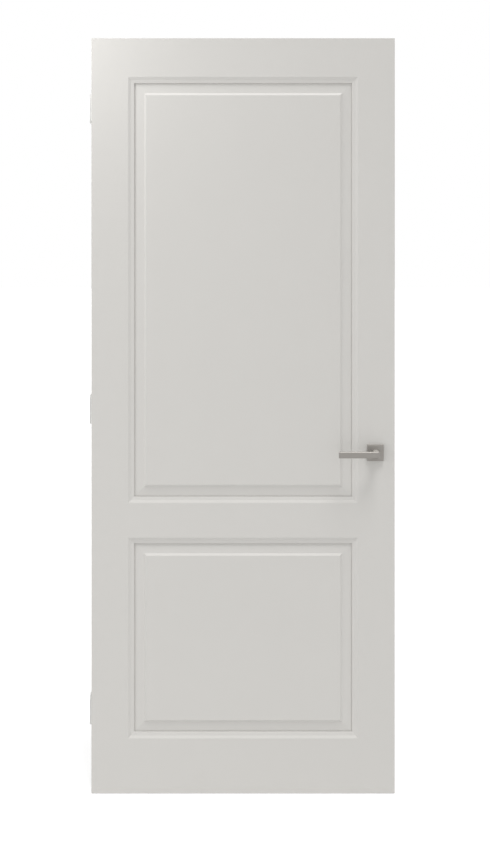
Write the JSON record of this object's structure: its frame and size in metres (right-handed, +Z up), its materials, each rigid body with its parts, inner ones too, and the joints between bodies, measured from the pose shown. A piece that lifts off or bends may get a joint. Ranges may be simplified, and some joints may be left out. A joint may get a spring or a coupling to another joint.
{
  "type": "interior door",
  "caption": "Painted panelled interior door leaf with raised-and-fielded panels, butt hinges on its far edge and a flat lever handle on square roses.",
  "frame": {"origin": "on the face of the bottom hinge that is screwed to the jamb, level with the middle of that hinge and with the middle of the leaf's thickness; the foot of the leaf is 250 mm below it", "axes": "+X along the closed leaf from the hinge edge to the lock edge, -Y out of the front face that the picture shows, +Z up"},
  "size_m": [0.939, 0.153, 2.315],
  "materials": {
    "leaf_paint": "satin light grey paint",
    "handle_steel": "satin",
    "hinge_steel": "white lacquer",
    "latch_steel": "nickel plate"
  },
  "bodies": {
    "jamb_side": {"hinge_bottom_frame_flap": "hinge_steel", "hinge_middle_frame_flap": "hinge_steel", "hinge_top_frame_flap": "hinge_steel"},
    "leaf": {"hinge_stile": "leaf_paint", "lock_stile": "leaf_paint", "top_rail": "leaf_paint", "middle_rail": "leaf_paint", "bottom_rail": "leaf_paint", "upper_panel": "leaf_paint", "lower_panel": "leaf_paint", "hinge_bottom_leaf_flap": "hinge_steel", "hinge_middle_leaf_flap": "hinge_steel", "hinge_top_leaf_flap": "hinge_steel", "latch_case": "latch_steel", "latch_forend": "latch_steel", "latch_bolt": "latch_steel", "front_rose": "handle_steel", "back_rose": "handle_steel"},
    "levers": {"front_lever": "handle_steel", "back_lever": "handle_steel", "spindle": "handle_steel"}
  },
  "joints": [
    {"name": "leaf_swing", "type": "hinge", "parent": "jamb_side", "child": "leaf", "pos_m": [0.003, 0.027, 0], "axis": [0, 0, 1], "range_deg": [0, 170]},
    {"name": "lever_turn", "type": "hinge", "parent": "leaf", "child": "levers", "pos_m": [0.876, 0, 0.795], "axis": [0, -1, 0], "range_deg": [0, 40], "stiffness_Nm_per_rad": 1, "springref_deg": -45.84}
  ]
}
